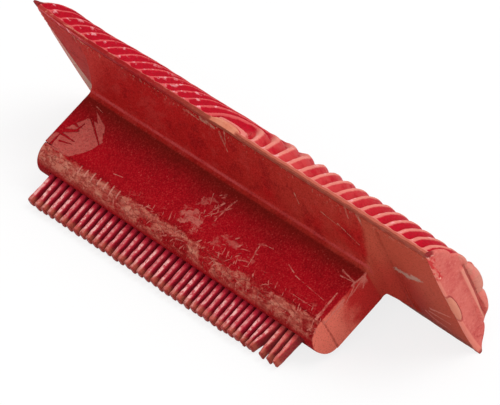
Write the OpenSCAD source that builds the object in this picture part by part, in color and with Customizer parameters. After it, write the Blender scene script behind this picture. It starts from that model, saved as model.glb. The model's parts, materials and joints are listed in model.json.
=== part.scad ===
// Wood graining rocker with comb, in red rubber.
//
// A long rocker head carries a ridged graining pad on its curved face. A grip web stands up
// from the head's sloping back and ends in a round comb holder, and a row of square teeth
// comes out of the holder.
//
// Every piece is drawn in the tool's own frame: X runs along the head, Y across it from the
// far long edge to the near one, and Z from the plane of the long edges up to the teeth.
// lying() then turns the tool into the pose in which it rests on a table, on its far long
// edge and its tooth tips, with the origin on the table under the middle of the tool.

/* [Rocker head] */
// Length of the rocker head
head_len = 152; // [120:1:190]
// Width of the rocker head, from one long edge to the other
head_w = 45; // [37:0.5:56]
// Depth of the curved face below the plane of the long edges
face_depth = 10; // [8:0.5:13]
// Height of the square rim along each long edge
rim_h = 1; // [0.6:0.1:1.6]
// Rise of the sloping back where it meets the grip
back_rise = 5.5; // [4:0.1:7]
// Rise of the low back beyond the ends of the grip
end_crown = 1; // [0.6:0.1:1.6]

/* [Graining pad] */
// Distance from one ridge to the next
ridge_pitch = 4.6; // [3.8:0.1:6]
// Width of the top of a ridge
ridge_w = 1.9; // [1.4:0.1:2.6]
// Height of the ridges above the grooves
ridge_h = 1.2; // [0.6:0.1:1.5]
// Thickness of the pad under the grooves
pad_t = 0.8; // [0.6:0.1:1.2]
// Width of the plain land along each long edge
land_w = 1.2; // [0.8:0.1:2]
// Radius of the plain eye at the middle of the near edge
eye_r = 5.4; // [4:0.1:6.5]
// Radius of the first ring, at the middle of its top
first_ring_r = 8.7; // [8:0.1:11]

/* [End pads] */
// Thickness of each end pad
end_pad_t = 1.2; // [0.8:0.1:2]
// Height of the raised pattern on an end pad
relief_h = 0.6; // [0.3:0.1:0.9]
// Length of the straight ridge on an end pad
end_ridge_len = 21; // [14:0.5:24]
// Depth of that ridge's middle below the plane of the long edges
end_ridge_depth = 5.2; // [4:0.1:6]
// Width of that ridge
end_ridge_w = 1; // [0.6:0.1:1.6]
// Length of the oval boss at the middle of the end edge
boss_len = 11.2; // [8:0.1:14]
// Width of the oval boss
boss_w = 3.6; // [2.4:0.1:4.4]
// Distance of the boss from the middle of the end edge, towards the far edge
boss_offset = 1.6; // [0:0.1:3]

/* [Grip] */
// Length of the grip web
grip_len = 108; // [84:1:114]
// Thickness of the grip web
grip_t = 11.5; // [9:0.1:15]
// Distance of the grip's middle from the head's middle, along the head
grip_offset = -1; // [-2:0.1:2]
// Height of the seam between the grip and the comb holder
seam_z = 24.3; // [18:0.1:32]
// Radius of the fillet between the grip and the sloping back
fillet_r = 2.5; // [1.5:0.1:3.5]
// Radius of the fillet at each end of the grip
end_fillet_r = 3; // [2:0.1:4]
// Chamfer along both sides of the seam
seam_chamfer = 0.4; // [0.2:0.1:0.6]

/* [Comb] */
// Distance from one tooth to the next
tooth_pitch = 2.56; // [2.2:0.02:3.4]
// Width of a tooth, along the row
tooth_w = 1.7; // [1.2:0.1:2]
// Thickness of a tooth, across the row
tooth_t = 3.6; // [2.8:0.1:4.4]
// Length of the teeth that shows beyond the holder
tooth_reach = 9.2; // [6:0.1:12]
// Chamfer at the tip of a tooth
tip_chamfer = 0.5; // [0.2:0.1:0.8]
// Least mean distance from the row of teeth to the ends of the holder
comb_inset = 4.4; // [3.4:0.1:8]
// Distance of the row's middle from the holder's middle, along the holder
comb_offset = 1; // [-2:0.1:2]
// Depth of the slot in the holder
slot_depth = 4.2; // [3:0.1:4.6]
// Height of the strip that joins the teeth inside the slot
strip_h = 2.2; // [1.6:0.1:2.4]
// Rounding of the holder's end edges
holder_round = 1; // [0.5:0.1:2]

/* [Fits] */
// Thickness of the adhesive between bonded pieces
glue_line = 0.05; // [0.02:0.01:0.1]
// Gap between the comb and each wall of its slot
slot_gap = 0.1; // [0.05:0.01:0.2]

/* [Hidden] */
$fn = 96;

// Segments of the very wide circle that gives the low crown of the back
wide_arc_fn = 900;

// Colours of the rubber pieces
deep_red = [0.60, 0.09, 0.12];
bright_red = [0.76, 0.13, 0.18];
salmon = [0.82, 0.42, 0.37];
crimson = [0.62, 0.20, 0.24];

// A little more than nothing, by which joined shapes run into each other
sink = 1;

// Curved face: its ridge tops lie on a circle through both rims
half_w = head_w / 2;
face_sagitta = face_depth - rim_h;
top_r = (half_w * half_w + face_sagitta * face_sagitta) / (2 * face_sagitta);
arc_z = top_r - face_depth;
groove_r = top_r - ridge_h;
pad_inner_r = groove_r - pad_t;

// Core of the head, under the pad, with its thin long edges cut square
core_r = pad_inner_r - glue_line;
blunt_edge = 0.3;
core_half_w = sqrt(core_r * core_r - arc_z * arc_z) - blunt_edge;
core_len = head_len - 2 * (end_pad_t + glue_line);
crown_r = (core_half_w * core_half_w + end_crown * end_crown) / (2 * end_crown);

// Rings that reach the corner farthest from the eye
far_corner_r = sqrt(head_len * head_len / 4 + head_w * head_w);
ring_count = ceil((far_corner_r - first_ring_r) / ridge_pitch) + 1;

// Fillet between the grip and the sloping back
half_grip = grip_t / 2;
slope_angle = atan(back_rise / (core_half_w - half_grip));
fillet_z = back_rise - fillet_r * tan(slope_angle) + fillet_r / cos(slope_angle);

// Straight end ridge, and the legs that bring it back to the end edge
leg_foot_y = core_half_w - 3;
leg_foot_depth = 1;

// Comb holder and comb
holder_top = seam_z + glue_line;
holder_bottom = holder_top + half_grip;
slot_roof = holder_bottom - slot_depth;
tip_z = holder_bottom + tooth_reach;
tooth_count = floor((grip_len - 2 * comb_inset - tooth_w) / tooth_pitch) + 1;
row_len = (tooth_count - 1) * tooth_pitch + tooth_w;

// Lying pose: the far long edge and the lower corner of the tooth tips touch the table
lean = atan((half_w - tooth_t / 2) / (tip_z - tip_chamfer));
table_rise = half_w * cos(lean);
head_reach = top_r - arc_z * cos(lean);
comb_reach = tip_z * cos(lean) + (tooth_t / 2 - tip_chamfer) * sin(lean);
table_shift = (comb_reach - head_reach) / 2;

// Turns the tool from its own frame into its resting pose
module lying() {
    translate([0, table_shift, table_rise])
        rotate([90 + lean, 0, 0])
            children();
}

// Extrudes a Y-Z section along X, or an X-Z outline along Y, about the middle
module along_x(len) {
    rotate([90, 0, 90])
        linear_extrude(height = len, center = true)
            children();
}
module along_y(len) {
    rotate([90, 0, 0])
        linear_extrude(height = len, center = true)
            children();
}

// Section between the plane of the long edges and a circle about the face's centre
module face_section(radius, half_width) {
    intersection() {
        translate([0, arc_z])
            circle(r = radius);
        translate([-half_width, -face_depth - sink])
            square([2 * half_width, face_depth + sink]);
    }
}

// Low crowned back, over the whole width of the core
module crown_section() {
    intersection() {
        translate([0, end_crown - crown_r])
            circle(r = crown_r, $fn = wide_arc_fn);
        translate([-core_half_w, -sink])
            square([2 * core_half_w, end_crown + sink]);
    }
}

// Core section with its crowned back, shared by the head and the end pads
module core_section() {
    face_section(core_r, core_half_w);
    intersection() {
        crown_section();
        translate([-core_half_w, 0])
            square([2 * core_half_w, end_crown]);
    }
}

// One fillet between the grip's near side and the sloping back
module slope_fillet() {
    foot = fillet_r + sink / 2;
    difference() {
        polygon([
            [half_grip - sink, fillet_z],
            [half_grip + fillet_r, fillet_z],
            [half_grip + fillet_r - foot * sin(slope_angle), fillet_z - foot * cos(slope_angle)],
            [half_grip - sink, back_rise - sink]
        ]);
        translate([half_grip + fillet_r, fillet_z])
            circle(r = fillet_r);
    }
}

// Section of the sloping back with the grip web on it
module grip_section() {
    polygon([
        [-core_half_w, 0],
        [core_half_w, 0],
        [half_grip, back_rise],
        [-half_grip, back_rise]
    ]);
    polygon([
        [-half_grip, 0],
        [half_grip, 0],
        [half_grip, seam_z - seam_chamfer],
        [half_grip - seam_chamfer, seam_z],
        [seam_chamfer - half_grip, seam_z],
        [-half_grip, seam_z - seam_chamfer]
    ]);
    slope_fillet();
    mirror([1, 0])
        slope_fillet();
}

// One fillet from the end of the grip down to the crowned back
module end_fillet() {
    difference() {
        polygon([
            [grip_len / 2 - sink, 0],
            [grip_len / 2 + end_fillet_r, 0],
            [grip_len / 2 + end_fillet_r, end_crown],
            [grip_len / 2 + end_fillet_r, end_crown + end_fillet_r],
            [grip_len / 2 - sink, end_crown + end_fillet_r]
        ]);
        translate([grip_len / 2 + end_fillet_r, end_crown + end_fillet_r])
            circle(r = end_fillet_r);
    }
}

// Side outline of the grip and the sloping back
module grip_outline() {
    polygon([
        [-grip_len / 2, 0],
        [grip_len / 2, 0],
        [grip_len / 2, seam_z - seam_chamfer],
        [grip_len / 2 - seam_chamfer, seam_z],
        [seam_chamfer - grip_len / 2, seam_z],
        [-grip_len / 2, seam_z - seam_chamfer]
    ]);
    end_fillet();
    mirror([1, 0])
        end_fillet();
}

// Head core, sloping back and grip web, moulded as one piece
module handle_body() {
    color(deep_red)
        lying() {
            along_x(core_len)
                core_section();
            translate([grip_offset, 0, 0])
                intersection() {
                    along_x(grip_len + 2 * end_fillet_r)
                        grip_section();
                    along_y(head_w)
                        grip_outline();
                }
        }
}

// Plan of the raised parts of the graining pad: eye, rings and the lands along the edges
module ridge_plan() {
    translate([0, half_w]) {
        circle(r = eye_r);
        for (i = [0 : ring_count - 1])
            difference() {
                circle(r = first_ring_r + i * ridge_pitch + ridge_w / 2);
                circle(r = first_ring_r + i * ridge_pitch - ridge_w / 2);
            }
    }
    for (side = [-1, 1])
        translate([0, side * (half_w - land_w / 2)])
            square([head_len, land_w], center = true);
}

// Ridged rubber facing, bonded to the curved face of the head
module graining_pad() {
    color(bright_red)
        lying() {
            along_x(head_len)
                difference() {
                    face_section(groove_r, half_w);
                    translate([0, arc_z])
                        circle(r = pad_inner_r);
                }
            intersection() {
                along_x(head_len)
                    difference() {
                        face_section(top_r, half_w);
                        translate([0, arc_z])
                            circle(r = groove_r - pad_t / 2);
                    }
                translate([0, 0, -face_depth - sink])
                    linear_extrude(height = face_depth + sink)
                        ridge_plan();
            }
        }
}

// Straight stroke with round ends, from one point to another
module stroke(from, to, width) {
    run = to - from;
    translate(from)
        rotate(atan2(run[1], run[0]))
            translate([0, -width / 2])
                square([norm(run), width]);
    translate(from)
        circle(d = width);
    translate(to)
        circle(d = width);
}

// Raised pattern of an end pad: a ridge along the end edge, brought back to the edge
module end_ridges() {
    half_ridge = end_ridge_len / 2;
    stroke([-half_ridge, -end_ridge_depth], [half_ridge, -end_ridge_depth], end_ridge_w);
    for (side = [-1, 1])
        stroke([side * half_ridge, -end_ridge_depth],
               [side * leg_foot_y, -leg_foot_depth],
               end_ridge_w);
}

// Oval boss, as the lens where two equal circles cross
module boss_outline() {
    lens_r = (boss_len * boss_len + boss_w * boss_w) / (4 * boss_w);
    intersection_for (side = [-1, 1])
        translate([-boss_offset, side * (lens_r - boss_w / 2)])
            circle(r = lens_r);
}

// End pad with its outer face to the right, bonded to one end of the head's core
module end_pad() {
    translate([(head_len - end_pad_t) / 2, 0, 0])
        along_x(end_pad_t)
            core_section();
    translate([head_len / 2, 0, 0])
        along_x(2 * relief_h)
            intersection() {
                end_ridges();
                core_section();
            }
    translate([(head_len - end_pad_t + relief_h) / 2, 0, 0])
        along_x(end_pad_t + relief_h)
            intersection() {
                boss_outline();
                translate([-core_half_w, -boss_w])
                    square([2 * core_half_w, 2 * boss_w]);
            }
}
module end_pad_right() {
    color(salmon)
        lying()
            end_pad();
}
module end_pad_left() {
    color(salmon)
        lying()
            mirror([1, 0, 0])
                end_pad();
}

// Section of the comb holder: a half round under the seam
module holder_section() {
    intersection() {
        translate([0, holder_top])
            circle(r = half_grip);
        polygon([
            [seam_chamfer - half_grip, holder_top],
            [half_grip - seam_chamfer, holder_top],
            [half_grip, holder_top + seam_chamfer],
            [half_grip, holder_bottom + sink],
            [-half_grip, holder_bottom + sink],
            [-half_grip, holder_top + seam_chamfer]
        ]);
    }
}

// Side outline of the comb holder, chamfered at the seam and rounded at its lower corners
module holder_outline() {
    half_len = grip_len / 2;
    polygon([
        [seam_chamfer - half_len, holder_top],
        [half_len - seam_chamfer, holder_top],
        [half_len, holder_top + seam_chamfer],
        [half_len, holder_bottom - holder_round],
        [half_len - holder_round, holder_bottom],
        [holder_round - half_len, holder_bottom],
        [-half_len, holder_bottom - holder_round],
        [-half_len, holder_top + seam_chamfer]
    ]);
    for (side = [-1, 1])
        translate([side * (half_len - holder_round), holder_bottom - holder_round])
            circle(r = holder_round);
}

// Round-nosed bar under the grip, with a blind slot for the comb
module comb_holder() {
    color(deep_red)
        lying()
            translate([grip_offset, 0, 0])
                difference() {
                    intersection() {
                        along_x(grip_len)
                            holder_section();
                        along_y(grip_t + sink)
                            holder_outline();
                    }
                    translate([comb_offset, 0, slot_roof + (slot_depth + sink) / 2])
                        cube([row_len + 2 * slot_gap,
                              tooth_t + 2 * slot_gap,
                              slot_depth + sink], center = true);
                }
}

// Section of the comb, from the roof of its slot to the tooth tips
module comb_section() {
    half_t = tooth_t / 2;
    polygon([
        [-half_t, slot_roof],
        [half_t, slot_roof],
        [half_t, tip_z - tip_chamfer],
        [half_t - tip_chamfer, tip_z],
        [tip_chamfer - half_t, tip_z],
        [-half_t, tip_z - tip_chamfer]
    ]);
}

// Row of square teeth on a strip that sits in the holder's slot
module comb() {
    teeth_z = slot_roof + strip_h;
    tooth_len = tip_z - teeth_z;
    color(crimson)
        lying()
            translate([grip_offset + comb_offset, 0, 0])
                difference() {
                    along_x(row_len)
                        comb_section();
                    for (i = [0 : tooth_count - 2])
                        translate([(i + 1) * tooth_pitch - (row_len + tooth_pitch - tooth_w) / 2,
                                   0,
                                   teeth_z + (tooth_len + sink) / 2])
                            cube([tooth_pitch - tooth_w,
                                  tooth_t + sink,
                                  tooth_len + sink], center = true);
                }
}

handle_body();
graining_pad();
end_pad_left();
end_pad_right();
comb_holder();
comb();
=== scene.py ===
"""Looks of a red rubber wood graining rocker with a comb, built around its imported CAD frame.

The pieces are modelled in the tool's own frame, in millimetres: X runs along the rocker head,
Y across it from the far long edge to the near one, and Z from the plane of the long edges up
to the teeth. settle() then lays each finished piece down in the frame of the CAD model.
"""

import json
import math
import random

import bpy
import numpy as np
from mathutils import Matrix, Vector, noise


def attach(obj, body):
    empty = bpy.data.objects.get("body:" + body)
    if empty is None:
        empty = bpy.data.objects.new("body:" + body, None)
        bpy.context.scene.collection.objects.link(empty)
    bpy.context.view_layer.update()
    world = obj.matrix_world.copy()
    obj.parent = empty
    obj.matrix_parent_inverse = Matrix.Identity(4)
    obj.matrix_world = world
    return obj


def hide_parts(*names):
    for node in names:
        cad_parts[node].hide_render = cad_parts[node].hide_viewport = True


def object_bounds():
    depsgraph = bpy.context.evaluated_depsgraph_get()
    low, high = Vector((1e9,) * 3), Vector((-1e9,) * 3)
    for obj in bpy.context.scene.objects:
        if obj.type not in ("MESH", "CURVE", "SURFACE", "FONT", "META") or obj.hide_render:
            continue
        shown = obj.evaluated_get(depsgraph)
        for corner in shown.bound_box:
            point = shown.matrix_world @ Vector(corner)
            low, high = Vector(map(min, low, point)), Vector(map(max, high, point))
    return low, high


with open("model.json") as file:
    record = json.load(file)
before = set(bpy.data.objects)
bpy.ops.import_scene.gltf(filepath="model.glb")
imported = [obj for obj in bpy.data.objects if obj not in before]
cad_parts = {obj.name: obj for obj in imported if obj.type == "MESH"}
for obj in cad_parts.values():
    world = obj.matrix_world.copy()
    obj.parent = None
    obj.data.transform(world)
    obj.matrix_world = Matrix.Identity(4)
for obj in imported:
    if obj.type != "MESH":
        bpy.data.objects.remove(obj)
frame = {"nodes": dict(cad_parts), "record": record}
cad_low, cad_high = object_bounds()

MM = 0.001

# ---------- The tool's own frame and its driving sizes, read from the CAD model ----------

near_face = next(m for m in frame["record"]["mounts"] if m["name"] == "grip_face_near")
ACROSS = Vector(near_face["axis"])
UP = Vector((1, 0, 0)).cross(ACROSS)
LEAN = math.atan2(-ACROSS.y, ACROSS.z)


def turned(node):
    """The node's corners along the tool's three directions, in millimetres."""
    points = np.array([v.co for v in frame["nodes"][node].data.vertices], float)
    return points @ np.array([(1, 0, 0), ACROSS, UP]).T / MM


pad_points = turned("graining_pad")
HALF_W = np.ptp(pad_points[:, 1]) / 2
ORIGIN = np.array([0, pad_points[:, 1].max() - HALF_W, pad_points[:, 2].max()])
TOOL_ORIGIN = MM * (ORIGIN[1] * ACROSS + ORIGIN[2] * UP)
LYING = Matrix.Translation(TOOL_ORIGIN) @ Matrix.Rotation(math.pi / 2 + LEAN, 4, "X")


def extent(node):
    """Lowest and highest corner of a CAD node in the tool's own frame, in millimetres."""
    points = turned(node) - ORIGIN
    return points.min(0), points.max(0)


pad_low, pad_high = extent("graining_pad")
body_high = extent("handle_body")[1]
holder_low, holder_high = extent("comb_holder")
comb_low, comb_high = extent("comb")

HALF_LEN = pad_high[0]
FACE_DEPTH = -pad_low[2]
CORE_HALF_W = body_high[1]
CORE_HALF_LEN = body_high[0]
HALF_GRIP = holder_high[1]
GRIP_X0, GRIP_X1 = holder_low[0], holder_high[0]
SEAM_Z = body_high[2]
HOLDER_TOP, HOLDER_BOTTOM = holder_low[2], holder_high[2]
COMB_X0, COMB_X1 = comb_low[0], comb_high[0]
SLOT_ROOF, TIP_Z = comb_low[2], comb_high[2]
HALF_TOOTH_T = comb_high[1]

# The pad: its rim's height, width and corner, its ridges, its skin under them, and the flat
# strip along each long edge
RIM_H = 1.0
RIM_W = 1.1
RIM_CORNER_R = 0.3
RIDGE_H = 1.2
PAD_T = 0.8
LAND_W = 0.35

# The back: its rise up to the grip, its crown across, and the fillets at the grip's foot
BACK_RISE = 5.5
END_CROWN = 1.0
FILLET_R = 2.5
END_FILLET_R = 3.0

# Thickness of an end pad, and how the mouldings' sharp edges are rounded
END_PAD_T = 1.2
EDGE_R = 0.5

# The comb: the strip that carries the teeth, their spacing and width, and its room in the slot
STRIP_H = 2.2
TOOTH_PITCH = 2.56
TOOTH_W = 1.7
SLOT_GAP = 0.1

# Thickness of the glue between two mouldings, and spare height that is trimmed off again
GLUE = 0.05
SPARE = 3.0

# Bends of the old rubber: how far the head's left end curls away from the teeth and up, how far
# its far edge droops at the right, and where along X each of them starts
CURL_BACK = 1.2
CURL_UP = 0.25
CURL_FROM = 46
DROOP = 1.1
DROOP_FROM = 15

# How much the grip swells on its far side by its right end
FLARE = 1.2

# Circle of the curved face
FACE_SAG = FACE_DEPTH - RIM_H
TOP_R = (HALF_W ** 2 + FACE_SAG ** 2) / (2 * FACE_SAG)
ARC_Z = TOP_R - FACE_DEPTH
INNER_R = TOP_R - RIDGE_H - PAD_T
CORE_R = INNER_R - GLUE
CROWN_R = (CORE_HALF_W ** 2 + END_CROWN ** 2) / (2 * END_CROWN)


# ---------- Modelling helpers ----------

def take(obj):
    """Makes obj the only selected object, and the active one."""
    bpy.ops.object.select_all(action="DESELECT")
    obj.select_set(True)
    bpy.context.view_layer.objects.active = obj
    return obj


def started(name):
    """Names the primitive that was just added, and leaves it as the only selected object."""
    obj = bpy.context.object
    obj.name = obj.data.name = name
    return take(obj)


def edit_all(*steps):
    """Runs edit mode steps on the active object, with everything selected first."""
    bpy.ops.object.mode_set(mode="EDIT")
    bpy.ops.mesh.select_all(action="SELECT")
    for step in steps:
        step()
    bpy.ops.object.mode_set(mode="OBJECT")


def extrude(move):
    """Extrudes the selected faces or edges by a move."""
    bpy.ops.mesh.extrude_region_move(TRANSFORM_OT_translate={"value": move})


def face_outwards():
    """Makes all normals of the closed shell being edited point outwards."""
    bpy.ops.mesh.select_all(action="SELECT")
    bpy.ops.mesh.normals_make_consistent(inside=False)


def coordinates(obj):
    """The mesh's corners as an array."""
    points = np.empty(len(obj.data.vertices) * 3)
    obj.data.vertices.foreach_get("co", points)
    return points.reshape(-1, 3)


def place(obj, points):
    """Moves the mesh's corners to the points of an array."""
    obj.data.vertices.foreach_set("co", np.asarray(points, float).ravel())
    obj.data.update()


def arc(cx, cy, radius, start, stop, steps):
    """Points of an arc about a centre, from one angle to another in degrees."""
    angles = np.radians(np.linspace(start, stop, steps + 1))
    return [(cx + radius * math.cos(a), cy + radius * math.sin(a)) for a in angles]


def bar(name, outline, start, length, axis):
    """Closed bar with the outline as its section, from start along X or along Y."""
    bpy.ops.mesh.primitive_circle_add(vertices=len(outline), fill_type="NGON")
    obj = started(name)
    flat = np.array(outline)
    rim = np.full(len(outline), start)
    columns = (rim, flat[:, 0], flat[:, 1]) if axis == "X" else (flat[:, 0], rim, flat[:, 1])
    place(obj, np.column_stack(columns))
    move = (length, 0, 0) if axis == "X" else (0, length, 0)
    edit_all(lambda: extrude(move), face_outwards)
    return obj


def modified(obj, kind, **settings):
    """Adds a modifier with its settings and applies it."""
    take(obj)
    modifier = obj.modifiers.new(kind.lower(), kind)
    for key, value in settings.items():
        setattr(modifier, key, value)
    bpy.ops.object.modifier_apply(modifier=modifier.name)
    return obj


def combined(obj, other, operation):
    """Joins, cuts or intersects obj with another solid, which is used up."""
    modified(obj, "BOOLEAN", operation=operation, object=other, solver="EXACT")
    bpy.data.objects.remove(other)
    return obj


def softened(obj, width, segments=3, angle=30):
    """Rounds the sharp edges, as a rubber moulding's are."""
    return modified(obj, "BEVEL", width=width, segments=segments, limit_method="ANGLE",
                    angle_limit=math.radians(angle), use_clamp_overlap=True)


def keep_values(obj, name, values):
    """Keeps one number per corner with the mesh, for its material to read."""
    attribute = obj.data.attributes.new(name, "FLOAT", "POINT")
    attribute.data.foreach_set("value", np.asarray(values, np.float32))


def smooth(values, low, high):
    """Goes smoothly from 0 at low to 1 at high."""
    share = np.clip((values - low) / (high - low), 0, 1)
    return share * share * (3 - 2 * share)


def curl(points):
    """Bends the head as old rubber does, and takes the crown out of its back at the left end."""
    x, y, z = points.T
    past = np.clip((-x - CURL_FROM) / (HALF_LEN - CURL_FROM), 0, 1) ** 2
    crown = END_CROWN * np.clip(1 - (y / HALF_W) ** 2, 0, 1) * np.clip(1 + z / 4, 0, 1)
    droop = DROOP * smooth(x, DROOP_FROM, HALF_LEN) * smooth(-y, 0, HALF_W)
    curled = points.copy()
    curled[:, 1] += CURL_UP * past + droop * math.tan(LEAN)
    curled[:, 2] += droop - (CURL_BACK + crown) * past
    return curled


def flared(points):
    """The grip grows thicker on its far side towards its right end."""
    x, y, z = points.T
    share = np.clip((x - GRIP_X0) / (GRIP_X1 - GRIP_X0), 0, 1) ** 2
    moved = points.copy()
    moved[:, 1] -= FLARE * share * smooth(z, 4, 8) * smooth(-y, HALF_TOOTH_T + 0.3, HALF_GRIP)
    return moved


def sliced(obj, start, stop, cuts):
    """Cuts edges round the piece between two places along X, so that it can bend there."""
    take(obj)
    bpy.ops.object.mode_set(mode="EDIT")
    for x in np.linspace(start, stop, cuts):
        bpy.ops.mesh.select_all(action="SELECT")
        bpy.ops.mesh.bisect(plane_co=(x, 0, 0), plane_no=(1, 0, 0))
    bpy.ops.object.mode_set(mode="OBJECT")


def trimmed(obj, height, keep_above):
    """Cuts the piece off flat at a height, and keeps the part above or below."""
    take(obj)
    edit_all(lambda: bpy.ops.mesh.bisect(plane_co=(0, 0, height), plane_no=(0, 0, 1), use_fill=True,
                                         clear_inner=keep_above, clear_outer=not keep_above))
    return obj


def pick_faces(obj, test):
    """Selects just the faces whose middle and normal pass a test, and goes to edit mode."""
    take(obj)
    bpy.ops.object.mode_set(mode="EDIT")
    bpy.ops.mesh.select_mode(type="FACE")
    bpy.ops.mesh.select_all(action="DESELECT")
    bpy.ops.object.mode_set(mode="OBJECT")
    for polygon in obj.data.polygons:
        polygon.select = bool(test(polygon.center, polygon.normal))
    bpy.ops.object.mode_set(mode="EDIT")


def settle(obj, material, slot, *nodes, smooth_angle=40):
    """Finishes a piece: lays it down, smooths it, and puts it in place of its CAD nodes."""
    take(obj)
    obj.matrix_world = LYING @ Matrix.Scale(MM, 4)
    bpy.ops.object.transform_apply(location=True, rotation=True, scale=True)
    points = coordinates(obj)
    points[:, 2] = np.maximum(points[:, 2], 0)
    place(obj, points)
    bpy.ops.object.shade_smooth_by_angle(angle=math.radians(smooth_angle))
    obj.data.materials.clear()
    obj.data.materials.append(material)
    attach(obj, "root")
    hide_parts(*nodes)
    return obj


def ragged(points, size, amount, seed):
    """Smooth noise at each point, for the unevenness of a hand-trimmed moulding."""
    shift = Vector((seed * 17.3, seed * 5.1, seed * 9.7))
    return amount * np.array([noise.noise(Vector(p) / size + shift) for p in points])


# ---------- Graining pad: the ridged facing on the curved face ----------

# Oval boss that the rings run round, on the near long edge: its place along X, its half length,
# how far it reaches down the face, and how far it bulges out
EYE_X = -0.5
EYE_HALF_LEN = 5.7
EYE_DEPTH = 1.75
EYE_BULGE = 0.35

# Rings about the boss: their middle, the first one's radius and their pitch, how they slant at
# the left and close up at the right, and the form of the grooves and of the rolls at the right
RING_X = 1.8
FIRST_RING_R = 9.0
RING_SHIFT = 1.4
LEFT_SLANT = 0.25
RING_PITCH = 4.54
CREST_W = 0.9
GROOVE_ROUND = 1.3
ROLL_STEEP = 0.30
CREST_PROUD = 0.15
ROLL_EXTRA = 0.65

# How far the near half of the face has swollen outwards, and the width of its uneven rim
SWELL = 1.1
RAGGED_W = 2.2

# Fineness of the pad's mesh: along X, across the curved face and across the inner face
PAD_COLUMNS = 430
PAD_ROWS = 142
INNER_ROWS = 20


def from_long_edge(y):
    """Distance along the curved face from the nearer long edge."""
    return (math.asin(HALF_W / TOP_R) - np.abs(np.arcsin(np.clip(y / TOP_R, -1, 1)))) * TOP_R


class Rings:
    """Where points of the curved face are in the pattern. edge is the way to the long edge."""

    def __init__(self, x, y, edge):
        self.edge = edge
        across = np.where(y > 0, edge, 2 * from_long_edge(0) - edge)
        slanted = LEFT_SLANT * across * smooth(RING_X - x, -10, 25) * smooth(x, -66, -28)
        radius = np.hypot(RING_X - x + slanted, across)
        turned_right = (x - RING_X) / np.maximum(radius, 1)
        closer = RING_SHIFT * smooth(turned_right, 0, 1)
        self.phase = (radius + closer - FIRST_RING_R) / RING_PITCH
        self.right = smooth(turned_right, 0.15, 0.7)
        near = np.where(y > 0, edge, 40)
        self.eye = np.hypot((x - EYE_X) / EYE_HALF_LEN, near / EYE_DEPTH)

    def relief(self):
        """Height above the groove floors, as a share of a full ridge."""
        inside = self.phase < -0.5
        from_crest = np.abs(self.phase - np.round(self.phase)) * RING_PITCH
        from_ring = np.where(inside, -self.phase * RING_PITCH, from_crest) - CREST_W / 2
        from_ring = np.where(inside, np.minimum(from_ring, (self.eye - 1.7) * 3), from_ring)
        side_gap = np.clip(GROOVE_ROUND - from_ring, 0, None)
        land_gap = np.clip(GROOVE_ROUND - (self.edge - LAND_W), 0, None)
        groove = GROOVE_ROUND - np.hypot(side_gap, land_gap)
        grooved = 1 - smooth(groove, -0.25, 0.9)
        turn = (self.phase + ROLL_STEEP) % 1
        steep = smooth(turn, 0, ROLL_STEEP)
        round_back = 1 - (np.clip(turn - ROLL_STEEP, 0, 1) / (1 - ROLL_STEEP)) ** 2
        rolls = np.where(turn < ROLL_STEEP, steep, round_back)
        rolls = 1 - (1 - rolls) * smooth(self.edge, LAND_W - 0.2, LAND_W + 1.2)
        share = self.right * (self.phase > -0.5)
        return grooved * (1 - share) + rolls * share


def pad_section():
    """Rows of the pad's closed section: curved face, near rim, inner face, far rim.

    Each row has its y, z, and how much of the ridge relief it takes."""
    reach = math.asin(HALF_W / TOP_R)
    inner_reach = math.acos(ARC_Z / INNER_R)
    rows = [(TOP_R * math.sin(a), ARC_Z - TOP_R * math.cos(a), 1.0)
            for a in np.linspace(-reach, reach, PAD_ROWS + 1)]
    corner = arc(HALF_W - RIM_CORNER_R, -RIM_CORNER_R, RIM_CORNER_R, 0, 90, 4)
    rim = [(HALF_W, -RIM_H / 2, 0.0)]
    rim += [(y, z, 0.0) for y, z in corner]
    rim += [(HALF_W - RIM_W, 0.0, 0.0)]
    rows += rim
    rows += [(INNER_R * math.sin(a), ARC_Z - INNER_R * math.cos(a), 0.0)
             for a in np.linspace(inner_reach, -inner_reach, INNER_ROWS + 1)]
    rows += [(-y, z, r) for y, z, r in reversed(rim)]
    return np.array(rows + rows[:1])


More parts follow.
